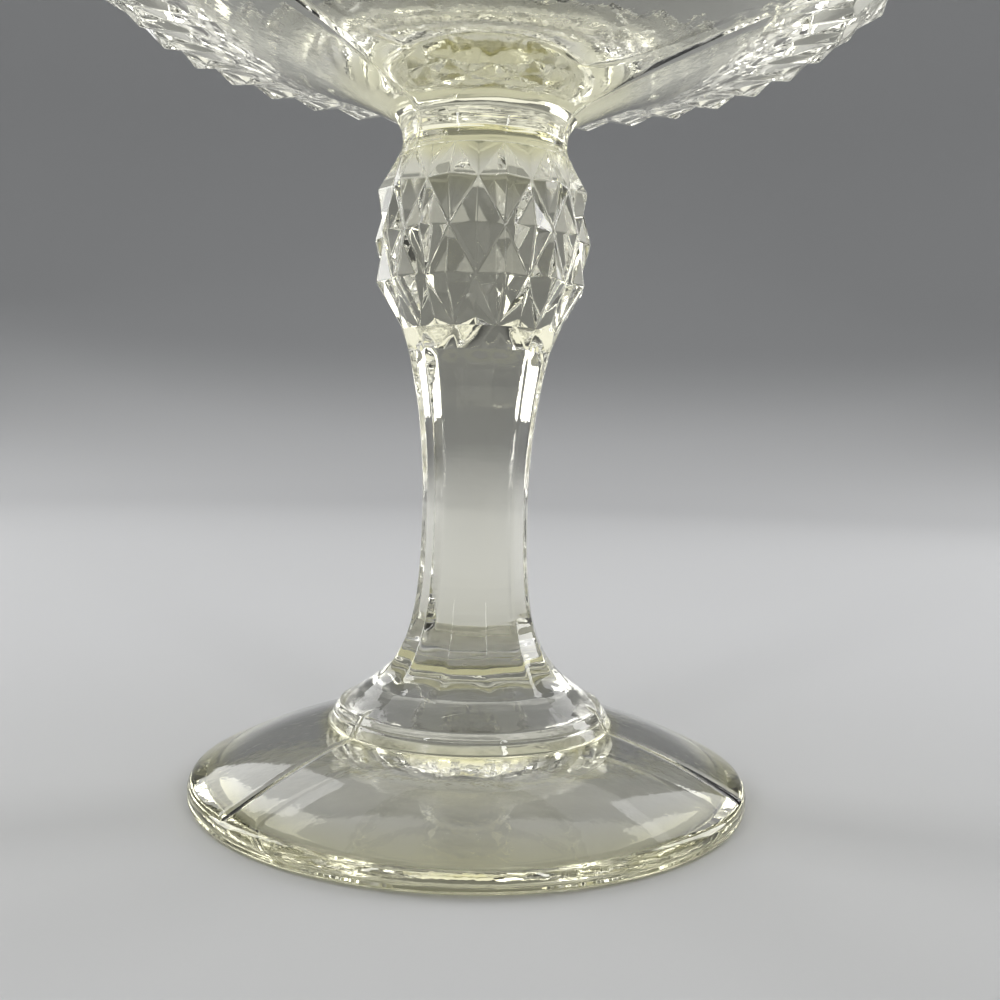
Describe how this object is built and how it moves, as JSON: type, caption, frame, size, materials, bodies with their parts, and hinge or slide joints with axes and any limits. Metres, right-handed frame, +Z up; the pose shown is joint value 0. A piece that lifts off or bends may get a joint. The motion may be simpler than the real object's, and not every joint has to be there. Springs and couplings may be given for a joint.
{
  "type": "footed compote bowl",
  "caption": "Clear pressed-glass footed compote: wide bowl with diamond points and a toothed rim on a knopped, panelled stem and a round domed foot.",
  "frame": {"origin": "centre of the foot's underside, on the surface the compote stands on", "axes": "+Z up along the compote's axis, -Y towards the viewer of the picture"},
  "size_m": [0.1772, 0.1772, 0.1828],
  "materials": {
    "glass": "fire-polished, clear, very pale straw tint in the thick parts"
  },
  "bodies": {
    "root": {"foot": "glass", "ledge": "glass", "column": "glass", "knop": "glass", "collar": "glass", "bowl": "glass"}
  },
  "joints": []
}
